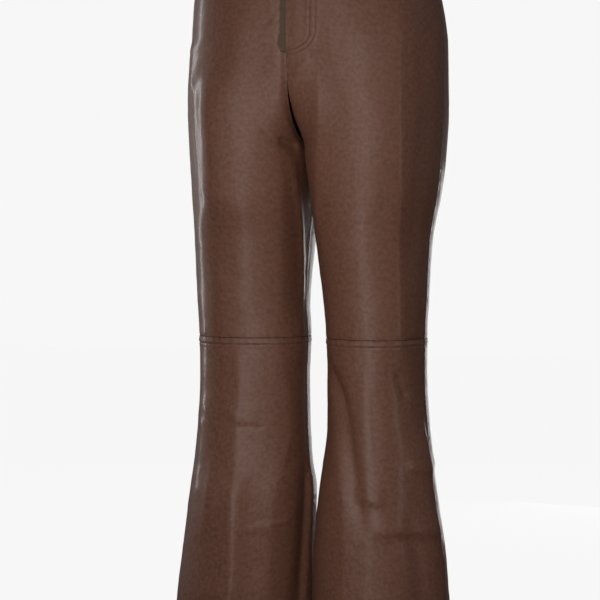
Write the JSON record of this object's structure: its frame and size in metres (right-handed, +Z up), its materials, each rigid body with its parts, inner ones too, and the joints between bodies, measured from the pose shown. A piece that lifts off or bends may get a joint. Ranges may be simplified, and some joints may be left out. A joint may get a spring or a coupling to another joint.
{
  "type": "faux leather flared trousers",
  "caption": "High-waisted faux leather trousers with a fly front, knee seams and flared legs, filled out as if worn.",
  "frame": {"origin": "centre of the waist opening, halfway up the waistband, where the wearer's waist holds the trousers up", "axes": "+Z up towards the waist opening, front of the trousers faces -Y, wearer's left leg on +X"},
  "size_m": [0.399, 0.2543, 1.0501],
  "materials": {
    "leather": "satin brown polyurethane faux leather with a fine grain",
    "zip_tape": "woven polyester tape",
    "button_metal": "aged brass plating"
  },
  "bodies": {
    "root": {"front_upper_left": "leather", "front_upper_right": "leather", "back_upper_left": "leather", "back_upper_right": "leather", "front_lower_left": "leather", "front_lower_right": "leather", "back_lower_left": "leather", "back_lower_right": "leather", "waistband": "leather", "zip": "zip_tape", "button": "button_metal", "zip_slider": "button_metal"}
  },
  "joints": []
}
